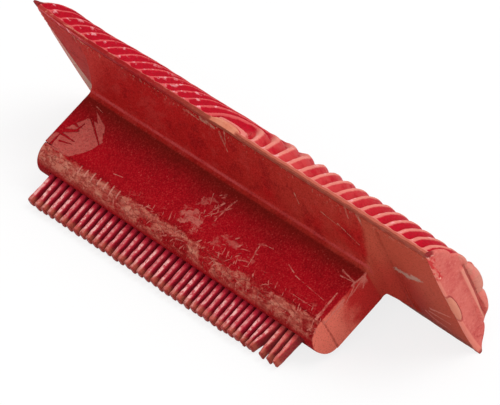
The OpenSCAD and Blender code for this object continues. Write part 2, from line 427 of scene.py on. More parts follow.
def graining_pad(material):
    """A grid rolled up into the pad's closed section, with the ridges pressed into one side."""
    section = pad_section()
    bpy.ops.mesh.primitive_grid_add(x_subdivisions=PAD_COLUMNS, y_subdivisions=len(section) - 1,
                                    size=2)
    obj = started("graining_pad_rubber")
    flat = coordinates(obj)
    row = np.rint((flat[:, 1] + 1) / 2 * (len(section) - 1)).astype(int)
    x = flat[:, 0] * (HALF_LEN - END_PAD_T)
    y, z, relief_share = section[row].T
    rings = Rings(x, y, from_long_edge(y))
    points = np.column_stack((x, y, z))
    relief = rings.relief()
    outside = rings.right * (rings.phase > -0.5) * smooth(rings.edge, 0.5, 3.5)
    sink = RIDGE_H * (1 - relief) - CREST_PROUD * smooth(rings.edge, 0, 2)
    sink += ROLL_EXTRA * outside * (0.35 - relief)
    sink -= ragged(points, 3.0, 0.10, 1) + ragged(points, 9.0, 0.12, 2)
    sink -= EYE_BULGE * np.sqrt(np.clip(1 - rings.eye ** 2, 0, 1))
    swollen = smooth(x, -HALF_LEN, -38) * (1 - 0.4 * smooth(x, 12, 32))
    swollen *= smooth(x, HALF_LEN - 2, 52)
    sink -= SWELL * swollen * smooth(y, -18, 6) * smooth(rings.edge, 0, 9)
    towards_axis = np.column_stack((0 * x, -y, ARC_Z - z))
    towards_axis /= np.linalg.norm(towards_axis, axis=1)[:, None]
    points += towards_axis * (sink * relief_share)[:, None]
    points[:, 1] += EYE_BULGE * np.clip(1 - ((x - EYE_X - 1) / 5) ** 2, 0, 1) * (y > HALF_W - 2.5)
    along = np.column_stack((x, 0 * x, 0 * x))
    rim = np.clip((np.abs(y) - HALF_W + RAGGED_W) / RAGGED_W, 0, 1) * np.sign(y)
    points[:, 1] += (ragged(along, 6.0, 0.2, 3) + ragged(along, 1.7, 0.12, 4)) * rim
    keep_values(obj, "ring_phase", rings.phase)
    keep_values(obj, "right_side", rings.right)
    keep_values(obj, "edge_distance", rings.edge)
    keep_values(obj, "eye", np.minimum(rings.eye, 9))
    place(obj, curl(points))
    edit_all(lambda: bpy.ops.mesh.remove_doubles(threshold=0.001))
    edit_all(lambda: bpy.ops.mesh.select_all(action="DESELECT"),
             lambda: bpy.ops.mesh.select_mode(type="EDGE"),
             lambda: bpy.ops.mesh.select_non_manifold(),
             lambda: bpy.ops.mesh.edge_face_add(),
             face_outwards)
    return settle(obj, material, "pad_rubber", "graining_pad")


# ---------- Handle body: the head's core, its sloping back and the grip web ----------

def core_outline():
    """Section of the head's core: the circle under the pad, and the low crowned back."""
    reach = math.degrees(math.asin(CORE_HALF_W / CORE_R))
    low = arc(0, ARC_Z, CORE_R, -90 - reach, -90 + reach, 48)
    crown = math.degrees(math.asin(CORE_HALF_W / CROWN_R))
    return low + arc(0, END_CROWN - CROWN_R, CROWN_R, 90 - crown, 90 + crown, 24)


def grip_outline():
    """Section of the sloping back with its fillets and the web."""
    slope = math.atan(BACK_RISE / (CORE_HALF_W - HALF_GRIP))
    fillet_z = BACK_RISE - FILLET_R * math.tan(slope) + FILLET_R / math.cos(slope)
    fillet = arc(HALF_GRIP + FILLET_R, fillet_z, FILLET_R, 270 - math.degrees(slope), 180, 12)
    right = [(CORE_HALF_W, -END_CROWN), (CORE_HALF_W, 0), *fillet,
             (HALF_GRIP, SEAM_Z + SPARE)]
    return right + [(-y, z) for y, z in reversed(right)]


def side_outline():
    """Side view of the grip, with a fillet at each end down to the crowned back."""
    foot = END_CROWN + END_FILLET_R
    right = [(GRIP_X1 + END_FILLET_R, -2 * END_CROWN),
             *arc(GRIP_X1 + END_FILLET_R, foot, END_FILLET_R, 270, 180, 14),
             (GRIP_X1, SEAM_Z + SPARE - 1)]
    left = [(GRIP_X0, SEAM_Z + SPARE - 1),
            *arc(GRIP_X0 - END_FILLET_R, foot, END_FILLET_R, 360, 270, 14),
            (GRIP_X0 - END_FILLET_R, -2 * END_CROWN)]
    return right + left


def handle_body(material):
    """The head's core and the grip's web as one moulding, cut off flat at the seam."""
    grip = bar("grip", grip_outline(), GRIP_X0 - 5, GRIP_X1 - GRIP_X0 + 10, "X")
    side = bar("side", side_outline(), -HALF_W, 2 * HALF_W, "Y")
    combined(grip, side, "INTERSECT")
    obj = bar("handle_body_rubber", core_outline(), -CORE_HALF_LEN, 2 * CORE_HALF_LEN, "X")
    combined(obj, grip, "UNION")
    softened(obj, EDGE_R)
    trimmed(obj, SEAM_Z, keep_above=False)
    sliced(obj, 2 - HALF_LEN, HALF_LEN - 2, 49)
    place(obj, curl(flared(coordinates(obj))))
    return settle(obj, material, "body_rubber", "handle_body")


# ---------- Comb holder and comb ----------

def holder_outline():
    """Half-round section of the holder, with spare height to trim off at the seam."""
    nose = arc(0, HOLDER_TOP, HALF_GRIP, 0, 180, 44)
    return [(HALF_GRIP, HOLDER_TOP - SPARE), *nose, (-HALF_GRIP, HOLDER_TOP - SPARE)]


def comb_holder(material):
    """The half-round bar under the grip, with the blind slot that the comb sits in."""
    obj = bar("comb_holder_rubber", holder_outline(), GRIP_X0, GRIP_X1 - GRIP_X0, "X")
    softened(obj, EDGE_R, segments=4, angle=50)
    trimmed(obj, HOLDER_TOP, keep_above=True)
    slot = bar("slot", [(-HALF_TOOTH_T - SLOT_GAP, SLOT_ROOF), (HALF_TOOTH_T + SLOT_GAP, SLOT_ROOF),
                        (HALF_TOOTH_T + SLOT_GAP, TIP_Z), (-HALF_TOOTH_T - SLOT_GAP, TIP_Z)],
               COMB_X0 - SLOT_GAP, COMB_X1 - COMB_X0 + 2 * SLOT_GAP, "X")
    combined(obj, slot, "DIFFERENCE")
    sliced(obj, GRIP_X0 + 2, GRIP_X1 - 2, 27)
    place(obj, flared(coordinates(obj)))
    return settle(obj, material, "body_rubber", "comb_holder")


# How far the tip of each of the last teeth leans along the row, and how many of them taper
LAST_LEANS = (-0.1, -0.2, -0.2, -0.7, -1.5, -0.15, 0.25, 0.0)
TAPERED = 6

# A tooth: the pieces that its length is built in, the radius of its edges, how round its
# section is from 0 to 1, and its width at the root as a share of TOOTH_W
TOOTH_STEPS = 7
TOOTH_EDGE_R = 0.32
TOOTH_ROUND = 0.6
TOOTH_SWELL = 1.16

# How far the last third of the teeth crowds together, up to the last tooth
CROWDING = 1.9


def comb(material):
    """A strip with square teeth drawn up out of it, which are then bent and worn."""
    teeth = round((COMB_X1 - COMB_X0 - TOOTH_W) / TOOTH_PITCH) + 1
    root_z = SLOT_ROOF + STRIP_H
    bpy.ops.mesh.primitive_grid_add(x_subdivisions=2 * teeth - 1, y_subdivisions=2, size=2)
    obj = started("comb_rubber")
    flat = coordinates(obj)
    step = np.rint((flat[:, 0] + 1) / 2 * (2 * teeth - 1)).astype(int)
    x = COMB_X0 + step // 2 * TOOTH_PITCH + step % 2 * TOOTH_W
    place(obj, np.column_stack((x, flat[:, 1] * HALF_TOOTH_T, np.full(len(x), root_z))))
    edit_all(lambda: extrude((0, 0, -STRIP_H)), face_outwards)
    rise = (TIP_Z - root_z) / TOOTH_STEPS
    pick_faces(obj, lambda at, normal: normal.z > 0.5 and at.z > root_z - 0.1
               and (at.x - COMB_X0) % TOOTH_PITCH < TOOTH_W)
    for _ in range(TOOTH_STEPS):
        extrude((0, 0, rise))
    bpy.ops.object.mode_set(mode="OBJECT")
    softened(obj, TOOTH_EDGE_R, segments=2)
    modified(obj, "SUBSURF", subdivision_type="SIMPLE", levels=1, render_levels=1)
    points = coordinates(obj)
    which = np.clip(np.rint((points[:, 0] - COMB_X0 - TOOTH_W / 2) / TOOTH_PITCH), 0, teeth - 1)
    off_middle = np.abs(points[:, 0] - COMB_X0 - TOOTH_W / 2 - which * TOOTH_PITCH)
    keep_values(obj, "tooth_side", off_middle / (TOOTH_W / 2))
    place(obj, bent_teeth(points, which.astype(int), teeth, root_z))
    return settle(obj, material, "comb_rubber", "comb", smooth_angle=60)


def bent_teeth(points, which, teeth, root_z):
    """Each tooth is rounded, and leans, swells and ends a little differently from the next."""
    chance = random.Random(7)
    lean = np.array([chance.gauss(0, 0.10) for _ in range(teeth)])
    lean[teeth - len(LAST_LEANS):] = LAST_LEANS
    drift = np.array([chance.gauss(0, 0.12) for _ in range(teeth)])
    shorter = np.array([abs(chance.gauss(0, 0.14)) for _ in range(teeth)])
    crowded = CROWDING * smooth(np.arange(teeth), 0.6 * teeth, teeth)
    centre_x = COMB_X0 + TOOTH_W / 2 + which * TOOTH_PITCH
    off_x = (points[:, 0] - centre_x) / (TOOTH_W / 2)
    off_y = points[:, 1] / HALF_TOOTH_T
    square = np.maximum(np.abs(off_x), np.abs(off_y)) / np.maximum(np.hypot(off_x, off_y), 1e-6)
    rounded = 1 - TOOTH_ROUND * (1 - square)
    out_of_root = np.clip(points[:, 2] - root_z, 0, 1)
    along = np.clip((points[:, 2] - root_z - 1) / (TIP_Z - root_z - 1), 0, 1)
    slimmer = TOOTH_SWELL - 0.12 * along - 0.06 * np.sin(math.pi * along)
    slimmer = slimmer - 0.42 * along ** 2 * (which >= teeth - TAPERED)
    moved = points.copy()
    moved[:, 0] = centre_x + (points[:, 0] - centre_x) * slimmer * rounded
    moved[:, 0] += lean[which] * along ** 1.5 - crowded[which] * out_of_root
    moved[:, 1] = points[:, 1] * (1 - 0.12 * along) * rounded + drift[which] * along ** 1.5
    moved[:, 2] -= shorter[which] * along
    uneven = along[:, None] * np.column_stack((ragged(points, 1.8, 0.22, 5),
                                               ragged(points, 1.8, 0.24, 6),
                                               ragged(points, 1.2, 0.1, 8)))
    return np.where(points[:, 2:] > root_z + 0.5, moved + uneven, points)


# ---------- End pads: the small facings on the two ends of the head ----------

# Notches between the rolls along an end pad's curved edge, as distances across the head, then
# the rolls' height, how far the face sinks beyond the ridge, and the notches' depth
ROLL_NOTCHES = (22.5, 14.7, 7.2, -5.0, -15.4, -23.5)
ROLL_H = 1.5
ROLL_SINK = 0.45
NOTCH_DEPTH = 1.3

# Straight ridge across the end, as y and z at its two ends, with its half width and height
END_RIDGE = ((8.2, -6.3), (-13.5, -5.2))
END_RIDGE_W = 0.75
END_RIDGE_H = 0.8

# Sloping strip along the end's straight edge, and the boss that lies across it
STRIP_W = 0.45
BOSS_Y = -1.4
BOSS_SIZE = (5.4, 1.0, 1.0)

# Little hooked tips at two corners of the head: how far they reach out, and from how far off
# the corner
TIP_REACH = 1.6
TIP_ZONE = 3.0

# How round the end's curved edge is, and how far inside the head's length its face lies
END_EDGE_R = 0.6
FACE_INSET = 0.05

# Fineness of an end pad's mesh, across the head and down it
END_COLUMNS = 220
END_ROWS = 70


def roll_height(y):
    """Height of the rolls along the curved edge: round between notches, and sharp at them."""
    height = np.zeros_like(y)
    for high, low in zip(ROLL_NOTCHES, ROLL_NOTCHES[1:]):
        share = np.clip((y - low) / (high - low), 0, 1)
        height = np.maximum(height, np.sqrt(np.clip(1 - (2 * share - 1) ** 2, 0, 1)))
    return height


def end_relief(y, z):
    """Height of the end pad's pattern: a straight ridge, a groove beyond it, then the rolls."""
    (y0, z0), (y1, z1) = END_RIDGE
    share = np.clip((y - y0) / (y1 - y0), 0, 1)
    away = np.hypot(y - (y0 + share * (y1 - y0)), z - (z0 + share * (z1 - z0)))
    ridge = END_RIDGE_H * np.clip(1 - (away / END_RIDGE_W) ** 2, 0, 1)
    below = z0 + (y - y0) / (y1 - y0) * (z1 - z0) - z
    rolls = smooth(below, 0.9, 2.4) * ROLL_H * roll_height(y) - smooth(below, 0.3, 1.4) * ROLL_SINK
    return ridge + rolls


def towards_tip(y, side):
    """Goes from 0 to 1 up to the corner with the hooked tip."""
    return np.clip((-y * side - HALF_W + TIP_ZONE) / TIP_ZONE, 0, 1)


def end_pad(name, side, material, node, worn_flat=0.0):
    """The end pad at one end; side is 1 for the right end and -1 for the left.

    worn_flat is how much of its pattern has worn away."""
    bpy.ops.mesh.primitive_grid_add(x_subdivisions=END_COLUMNS, y_subdivisions=END_ROWS, size=2)
    obj = started(name)
    flat = coordinates(obj)
    y = flat[:, 0] * HALF_W
    share = (1 - np.cos(math.pi * (flat[:, 1] + 1) / 2)) / 2
    reach = TOP_R + NOTCH_DEPTH * (roll_height(y) - 0.6) * (1 - worn_flat) - 0.2 * worn_flat
    bottom = ARC_Z - np.sqrt(reach ** 2 - y ** 2)
    top = np.clip(END_CROWN - CROWN_R + np.sqrt(CROWN_R ** 2 - y ** 2), 0, None)
    z = bottom + (top - bottom) * share
    inwards = np.minimum((z - bottom) * 0.85, HALF_W - np.abs(y))
    over_edge = np.clip(END_EDGE_R - inwards, 0, None)
    edge = END_EDGE_R - np.sqrt(np.clip(END_EDGE_R ** 2 - over_edge ** 2, 0, None))
    edge += 0.7 * np.clip(STRIP_W - (top - z), 0, None)
    edge *= 1 - towards_tip(y, side) * smooth(z, -3, -0.5)
    height = end_relief(y, z) * np.clip(inwards / 0.8, 0, 1) * (1 - worn_flat) - edge
    base = np.column_stack((0 * y, y, z))
    height += ragged(base, 2.5, 0.08, 11) + ragged(base, 8, 0.12, 12)
    folds = smooth(y, 10.5, 13) * smooth(y, 22.5, 20) * smooth(top - z, 2.8, 0.8)
    height += folds * ragged(base, 1.1, 0.9, 14)
    place(obj, np.column_stack((HALF_LEN - FACE_INSET + height, y, z)))
    edit_all(lambda: extrude((-3 * END_PAD_T, 0, 0)), face_outwards)
    points = coordinates(obj)
    inner = points[:, 0] < HALF_LEN - 0.5 - 1.5 * END_PAD_T
    points[inner, 0] = HALF_LEN - END_PAD_T + GLUE
    near_tip = towards_tip(points[:, 1], side) ** 2 * smooth(points[:, 2], -3.0, -0.5)
    points[:, 0] += 0.5 * TIP_REACH * near_tip * ~inner
    if side < 0:
        points[:, 1] += 0.2 * TIP_REACH * near_tip
        points[:, 2] -= 0.3 * TIP_REACH * near_tip
    place(obj, points)
    if worn_flat < 0.5:
        combined(obj, end_boss(), "UNION")
    points = coordinates(obj)
    if side < 0:
        points[:, 0] *= -1
        place(obj, points)
        edit_all(face_outwards)
        points = coordinates(obj)
    place(obj, curl(points))
    return settle(obj, material, "end_rubber", node, smooth_angle=50)


def end_boss():
    """Oval boss that lies across the end edge, tilted half way between end and back."""
    bpy.ops.mesh.primitive_uv_sphere_add(segments=64, ring_count=32, radius=1)
    obj = started("boss")
    points = coordinates(obj)
    points *= (BOSS_SIZE[1], BOSS_SIZE[0], BOSS_SIZE[2])
    place(obj, points)
    tilt = Matrix.Rotation(math.radians(55), 4, "Y")
    middle = (HALF_LEN - 0.6, BOSS_Y, END_CROWN - 0.75)
    obj.matrix_world = Matrix.Translation(middle) @ tilt
    bpy.ops.object.transform_apply(location=True, rotation=True, scale=True)
    return obj


# ---------- Shader maths ----------

class Signal:
    """An output socket of the material being made. Operators add Math nodes."""

    def __init__(self, tree, socket=None):
        self.tree = tree
        self.socket = socket

    def add(self, kind, settings=None, sockets=None, out=0):
        """Adds any node: its settings first, then the values or links of its sockets."""
        made = self.tree.nodes.new(kind)
        for key, value in (settings or {}).items():
            setattr(made, key, value)
        for key, value in (sockets or {}).items():
            if isinstance(value, Signal):
                self.tree.links.new(value.socket, made.inputs[key])
            else:
                made.inputs[key].default_value = value
        return Signal(self.tree, made.outputs[out])

    def math(self, operation, *values):
        """A Math node on the values."""
        return self.add("ShaderNodeMath", {"operation": operation}, dict(enumerate(values)))

    def __add__(self, other):
        return self.math("ADD", self, other)

    def __radd__(self, other):
        return self.math("ADD", other, self)

    def __sub__(self, other):
        return self.math("SUBTRACT", self, other)

    def __rsub__(self, other):
        return self.math("SUBTRACT", other, self)

    def __mul__(self, other):
        return self.math("MULTIPLY", self, other)

    def __truediv__(self, other):
        return self.math("DIVIDE", self, other)

    def __pow__(self, other):
        return self.math("POWER", self, other)

    def __abs__(self):
        return self.math("ABSOLUTE", self)

    def fraction(self):
        """What is left past the last whole number."""
        return self.math("FRACT", self)

    def max(self, other):
        return self.math("MAXIMUM", self, other)

    def min(self, other):
        return self.math("MINIMUM", self, other)

    def rise(self, low, high):
        """Goes smoothly from 0 at low to 1 at high, whichever of the two is larger."""
        flipped = low > high
        return self.add("ShaderNodeMapRange", {"interpolation_type": "SMOOTHSTEP"},
                        {"Value": self, "From Min": min(low, high), "From Max": max(low, high),
                         "To Min": float(flipped), "To Max": float(not flipped)})

    def vector(self, operation, *values, out=0):
        """A Vector Math node on the values; output 1 is its plain number."""
        return self.add("ShaderNodeVectorMath", {"operation": operation},
                        dict(enumerate(values)), out)

    def mix(self, factor, other):
        """This colour, turning into the other as factor goes from 0 to 1."""
        return self.add("ShaderNodeMix", {"data_type": "RGBA"}, {0: factor, 6: self, 7: other}, 2)


def rgb(red, green, blue):
    """A colour given as it shows on a screen, 0 to 255, as linear light."""
    shares = (v / 255 for v in (red, green, blue))
    return (*(v / 12.92 if v <= 0.04045 else ((v + 0.055) / 1.055) ** 2.4 for v in shares), 1)


class Rubber:
    """A rubber material under construction, with its coordinates in the tool's own frame.

    It starts as one colour, given as it shows on a screen, and paint() covers it in layers."""

    def __init__(self, name, *screen):
        self.material = bpy.data.materials.new(name)
        self.material.use_nodes = True
        self.tree = self.material.node_tree
        self.tree.nodes.clear()
        start = Signal(self.tree)
        self.start = start
        place_in_row = start.add("ShaderNodeTexCoord", out=3)
        self.point = start.add(
            "ShaderNodeMapping", {"vector_type": "TEXTURE"},
            {"Vector": place_in_row, "Location": tuple(TOOL_ORIGIN),
             "Rotation": (math.pi / 2 + LEAN, 0, 0), "Scale": (MM, MM, MM)})
        split = self.tree.nodes.new("ShaderNodeSeparateXYZ")
        self.tree.links.new(self.point.socket, split.inputs[0])
        self.x, self.y, self.z = (Signal(self.tree, o) for o in split.outputs)
        self.painted = self.colour(*screen)

    def value(self, name):
        """A number kept with the mesh."""
        return self.start.add("ShaderNodeAttribute", {"attribute_name": name}, out=2)

    def colour(self, *screen):
        """A plain colour as a signal."""
        made = self.tree.nodes.new("ShaderNodeRGB")
        made.outputs[0].default_value = rgb(*screen)
        return Signal(self.tree, made.outputs[0])

    def paint(self, share, *over):
        """Covers a share of the colour so far with a signal, or with a colour as on a screen."""
        over = over[0] if isinstance(over[0], Signal) else rgb(*over)
        self.painted = self.painted.mix(share, over)

    def noise(self, size, detail=3.0, roughness=0.55, stretch=(1, 1, 1), seed=0.0, turn=(0, 0, 0)):
        """Noise from 0 to 1 whose lumps are about size millimetres across."""
        placed = self.start.add(
            "ShaderNodeMapping", {"vector_type": "TEXTURE"},
            {"Vector": self.point, "Rotation": tuple(map(math.radians, turn)),
             "Scale": tuple(size * s for s in stretch),
             "Location": (seed * 31, seed * 11.47, seed * 22.01)})
        return self.start.add("ShaderNodeTexNoise", None,
                              {"Vector": placed, "Scale": 1.0, "Detail": detail,
                               "Roughness": roughness})

    def dashes(self, size, turn, seed):
        """Short straight flecks, all at one angle to X on surfaces that run along X and Z."""
        lumps = self.noise(size, 1.0, 0.5, (4, 2, 0.8), seed, (0, turn, 0))
        return lumps.rise(0.66, 0.71)

    def spot(self, centre, radii, ragged_by, size, seed):
        """A patch about a place in the tool's frame, with a ragged outline."""
        away = self.start.vector("SUBTRACT", self.point, centre)
        scaled = self.start.vector("DIVIDE", away, radii)
        distance = self.start.vector("LENGTH", scaled, out=1)
        uneven = distance + (self.noise(size, 4.0, 0.6, seed=seed) - 0.5) * ragged_by
        return uneven.rise(1.0, 0.86)

    def patch(self, corners, ragged_by, size, seed):
        """A patch with straight sides on the web, between corners given as x and z."""
        uneven = (self.noise(size, 4.0, 0.6, seed=seed) - 0.5) * ragged_by
        inside = None
        for (x0, z0), (x1, z1) in zip(corners, corners[1:] + corners[:1]):
            length = math.hypot(x1 - x0, z1 - z0)
            side = (self.x - x0) * ((z0 - z1) / length) + (self.z - z0) * ((x1 - x0) / length)
            inside = side if inside is None else inside.min(side)
        return (inside + uneven).rise(-0.1, 0.2)

    def scratches(self, strokes, plane, ragged_by):
        """Straight scratches, each with two ends in a plane and a width, thin at its end."""
        point = self.start.vector("MULTIPLY", self.point, [axis in plane for axis in "XYZ"])
        uneven = (self.noise(0.7, 2.0, 0.6, seed=len(strokes)) - 0.5) * ragged_by
        marks = None
        for start, stop, width in strokes:
            start, stop = (Vector(dict(zip(plane, p)).get(axis, 0) for axis in "XYZ")
                           for p in (start, stop))
            run = stop - start
            away = self.start.vector("SUBTRACT", point, tuple(start))
            share = self.start.vector("DOT_PRODUCT", away, tuple(run / run.length_squared), out=1)
            share = share.max(0.0).min(1.0)
            foot = self.start.add("ShaderNodeVectorMath", {"operation": "SCALE"},
                                  {0: tuple(run), "Scale": share})
            gap = self.start.vector("LENGTH", self.start.vector("SUBTRACT", away, foot), out=1)
            line = (gap + uneven + share * (width * 0.3)).rise(width * 0.6, width * 0.35)
            marks = line if marks is None else marks.max(line)
        return marks

    def finish(self, roughness, height, shine=0.05):
        """Makes the shader from what varies over the surface. height is in millimetres."""
        shader = self.tree.nodes.new("ShaderNodeBsdfPrincipled")
        output = self.tree.nodes.new("ShaderNodeOutputMaterial")
        bump = self.start.add("ShaderNodeBump", None,
                              {"Height": height, "Distance": MM, "Strength": 1.0})
        shader.inputs["Specular IOR Level"].default_value = shine
        self.tree.links.new(self.painted.socket, shader.inputs["Base Color"])
        self.tree.links.new(roughness.socket, shader.inputs["Roughness"])
        self.tree.links.new(bump.socket, shader.inputs["Normal"])
        self.tree.links.new(shader.outputs[0], output.inputs[0])
        return self.material


# ---------- Materials ----------

# Scratches as two ends in the tool's frame and a width: first on the web, then on the back
WEB_SCRATCHES = (
    ((6.5, 9.5), (5.5, 14.5), 0.5), ((6, 11), (5.5, 17.5), 0.5), ((4, 12), (3, 15), 0.6),
    ((7, 12), (2, 18), 0.4), ((22, 16.5), (23.5, 23), 0.35), ((23, 15.5), (26, 15.2), 0.3),
    ((33, 16.5), (36, 17.5), 0.4), ((37, 18), (50, 19.5), 0.2), ((40.5, 22.5), (50.5, 22.5), 0.2),
    ((51, 24.5), (50.5, 16), 1.0), ((47, 10), (52.5, 11), 0.6), ((47.5, 11.5), (52.5, 11), 0.4),
    ((52.5, 12), (53, 8), 0.8), ((-50, 8.5), (-47, 9), 0.3), ((-30, 21.5), (-27, 21), 0.3),
)
BACK_SCRATCHES = (
    ((41.5, 13.5), (49.5, 11), 0.3), ((35.5, 14), (41.5, 13), 0.3), ((44.5, 21), (46, 17.5), 0.9),
    ((49, 21), (51, 18), 1.4), ((25.5, 14.5), (27, 12), 0.5), ((-2.5, 19), (0, 14.5), 1.0),
    ((-0.5, 20), (-0.5, 16.5), 0.7), ((-60.5, 20), (-60.5, 17.5), 0.5),
    ((-58.5, 20), (-55, 20), 0.5), ((-9.5, 20), (-4.5, 19.5), 1.9), ((-15, 19.5), (-10.5, 19), 0.8),
)
FAR_BACK_SCRATCHES = (
    ((63.5, -11), (72, -8), 0.8), ((62, -17), (68, -18), 0.7), ((62, -13.5), (70, -13), 0.7),
    ((60, -15), (64, -19), 0.6),
)
SMEARS = (((57, 2), (61, 2.5), 2.2), ((60, 2), (64, 3), 2.8), ((63.5, 3.5), (66.5, 4.5), 2.4))
WEB_END_SCRATCHES = (
    ((5.5, 7.5), (4, 14), 0.9), ((5.5, 12), (3.5, 16), 0.6), ((5, 16.5), (4.5, 23.5), 1.3),
    ((3.5, 9), (2, 10.5), 0.5), ((4, 17), (3, 21), 0.5),
)
WORN_PATCH = ((-49.5, 12.5), (-43.5, 12), (-40, 16), (-41.5, 20), (-45.5, 24.5),
              (-54.5, 25), (-55, 21.5), (-52, 16.5))
WORN_SLIVER = ((-51.5, 8.5), (-43, 12), (-40, 16), (-41, 16.5), (-45, 13), (-48.5, 12))
WORN_CUTS = (((-53, 24), (-53, 20), 0.9), ((-53, 20), (-47.5, 20), 0.8),
             ((-54, 19.5), (-49, 17), 1.8), ((-49.5, 17), (-49, 14.5), 0.8),
             ((-52.5, 15.5), (-50, 16), 1.2), ((-48.5, 12), (-40.5, 17), 0.8),
             ((-51.5, 22), (-47.5, 21), 0.6))


def body_rubber():
    """Deep red rubber of the head and grip, scuffed pale along the nose and at the ends; painted
    shade and painted light on the web and the grip's end.
    """
    r = Rubber("deep red rubber", 150, 8, 20)
    x, y, z = r.x, r.y, r.z
    cloud = r.noise(14, 4, 0.6, seed=1)
    fine = r.noise(0.8, 3, 0.7, seed=2)
    grain = (fine - 0.5) * 2
    speck = r.noise(0.4, 1, 0.5, seed=3)
    r.paint(cloud.rise(0.35, 0.65), 130, 12, 18)
    r.paint(fine.rise(0.45, 0.75) * 0.4, 164, 36, 36)

    near = y.rise(2, 4.5)
    patches = r.noise(5.5, 4, 0.65, (1.6, 1, 0.8), 9)
    # Painted shade: the web's upper band below the sloping back is darkened, most where it meets
    # the back, as the head shades it.
    valley_shade = z.rise(13.5, 7) * z.rise(5.9, 6.5)
    r.paint(valley_shade * 0.8, 100, 22, 14)
    # Painted light: the web's lower band, in full light below that shade, is painted a brighter
    # red.
    bright = z.rise(12, 17) * z.rise(26, 22)
    r.paint(bright * 0.5, 166, 8, 24)

    on_back = (z - 1.2 - y.rise(19, 5) * 5.2).rise(1.2, 0.4)
    r.paint(on_back * (0.35 + cloud * 0.5), 166, 28, 24)
    left_facet = x + 42 + (22.5 - y) * 0.8 + grain * 4 + (cloud - 0.5) * 22
    left_facet = left_facet.rise(5, -5) * on_back
    r.paint(left_facet * 0.65, 182, 56, 50)
    brownish = on_back * x.rise(-10, 45) * cloud.rise(0.3, 0.6)
    r.paint(brownish * 0.5, 162, 62, 48)
    blotches = r.noise(6, 4, 0.65, seed=27)
    r.paint(on_back * blotches.rise(0.52, 0.64) * 0.3, 168, 54, 50)
    r.paint(on_back * blotches.rise(0.46, 0.36) * 0.4, 112, 8, 14)
    bleached = (x + HALF_LEN - (17 - y).max(0) * 0.24 + grain * 0.5).rise(0.7, 0.1)
    bleached = bleached * on_back * y.rise(17, 15)
    r.paint(bleached * 0.85, 200, 158, 142)
    right_facet = x - 49.5 - (21.0 - y.max(14.0)) * 0.3 + grain * 0.8 + (cloud - 0.5) * 4
    right_facet = right_facet.rise(-1.2, 1.6) * on_back
    redder = y.rise(8, -4) * x.rise(68, 58)
    facet_colour = r.colour(172, 76, 58).mix(redder * 0.7, r.colour(166, 46, 40))
    r.paint(right_facet * 0.85, facet_colour)
    under_edge = y.rise(20.8, 21.9) * (0.35 + r.noise(5, 3, 0.6, seed=4).rise(0.45, 0.6) * 0.5)
    r.paint(under_edge, 140, 84, 58)

    # A pale line along the fillet where the back meets the web: partly wear, partly a painted
    # highlight.
    fillet = (abs(z - 5.8) + grain * 0.3).rise(0.5, 0.1) * near
    fillet = fillet * x.rise(GRIP_X1 + 2, GRIP_X1) * x.rise(GRIP_X0 - 2, GRIP_X0)
    r.paint(fillet * (0.35 + patches.rise(0.4, 0.6) * 0.35), 180, 70, 70)

    crease = r.noise(2.2, 3, 0.7, seed=6) - 0.5
    crumpled = z + crease * 2
    nose = (z + crease * 3.5).rise(24.4, 25.4) * crumpled.rise(30.6, 29.2) * near
    mottled = r.noise(1.6, 3, 0.7, (1.8, 1, 1), 19).rise(0.4, 0.6)
    solid = (x.rise(-18, -34) * 0.9).max(patches.rise(0.42, 0.54)) * (0.35 + mottled * 0.65)
    tan_patches = r.noise(2.5, 3, 0.7, (2.5, 1, 1), 10).rise(0.4, 0.65)
    tan = r.colour(184, 100, 84).mix(tan_patches, r.colour(194, 124, 104))
    r.paint(nose * solid * 0.92, tan)
    cut_lines = abs(r.noise(2.6, 2, 0.5, (2.2, 1, 0.8), 12) - 0.5).rise(0.035, 0.01)
    r.paint(nose * cut_lines * 0.6, 120, 34, 30)

    tooth_marks = abs((x / TOOTH_PITCH).fraction() - 0.5).rise(0.13, 0.05)
    tooth_marks = tooth_marks * x.rise(-42, -39) * x.rise(-21, -25)
    tooth_marks = tooth_marks * crumpled.rise(24, 24.6) * crumpled.rise(27.0, 26.2) * near
    r.paint(tooth_marks * 0.8, 200, 130, 116)
    seam = (abs(z - SEAM_Z) + grain * 0.1).rise(0.3, 0.1) * near * patches.rise(0.45, 0.55)
    seam = seam * (x.rise(36, 46).max(x.rise(-36, -46)))
    end_seam = (abs(z - SEAM_Z + 0.2) + grain * 0.15).rise(0.4, 0.15)
    seam = seam.max(end_seam * x.rise(GRIP_X1 - 0.6, GRIP_X1 - 0.2) * 0.7)

    on_web = near * z.rise(6, 7) * z.rise(26.5, 25.5)
    worn = r.patch(WORN_PATCH, 1.1, 1.5, 3.0).max(r.patch(WORN_SLIVER, 0.5, 1.2, 5.0))
    cuts = r.scratches(WORN_CUTS, "XZ", 0.35)
    worn = worn * near * (1 - cuts)
    worn_colour = r.colour(174, 76, 70).mix(fine.rise(0.4, 0.7), r.colour(184, 94, 84))
    r.paint(worn * 0.9, worn_colour)

    grip_end = (x - GRIP_X1 + grain * 0.3).rise(-0.5, 0.0) * (1 - on_back)
    end_wear = (z + r.noise(4, 3, 0.6, seed=16) * 12).rise(19, 28)
    # Painted light: the grip's end face lies in shade, so its base red is painted brighter.
    r.paint(grip_end * 0.7, 176, 16, 24)
    r.paint(grip_end * (0.1 + end_wear * 0.8), 218, 114, 96)
    r.paint(seam * (0.3 + mottled * 0.5), 120, 12, 16)

